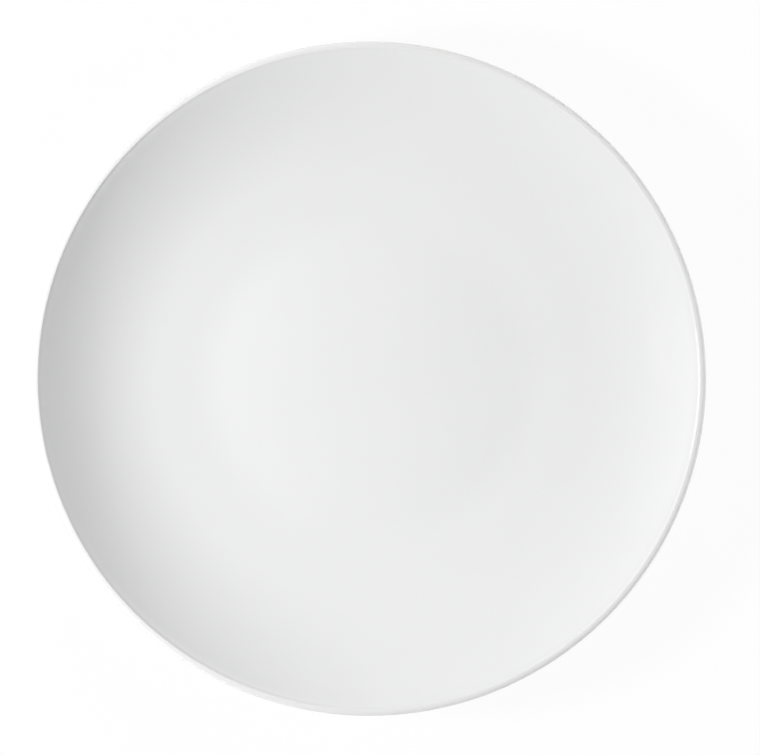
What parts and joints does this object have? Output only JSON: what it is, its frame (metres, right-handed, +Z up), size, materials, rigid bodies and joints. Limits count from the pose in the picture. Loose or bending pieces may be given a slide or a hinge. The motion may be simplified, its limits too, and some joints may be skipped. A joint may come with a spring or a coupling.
{
  "type": "coupe plate",
  "caption": "Semi-deep round coupe plate in glazed white porcelain: a level well, a rimless wall sweeping up to a rounded lip, and a low foot ring with a bare standing edge.",
  "frame": {"origin": "middle of the plane that the foot ring stands on", "axes": "+Z up along the plate's axis of revolution, towards the food side; +X to the right and +Y to the top of the picture"},
  "size_m": [0.28, 0.28, 0.034],
  "materials": {
    "bare_porcelain": "fired and unglazed, fine matt grain",
    "white_glaze": "glossy, neutral white"
  },
  "bodies": {
    "root": {"porcelain_body": "bare_porcelain", "glaze_coat": "white_glaze", "recess_glaze": "white_glaze"}
  },
  "joints": []
}
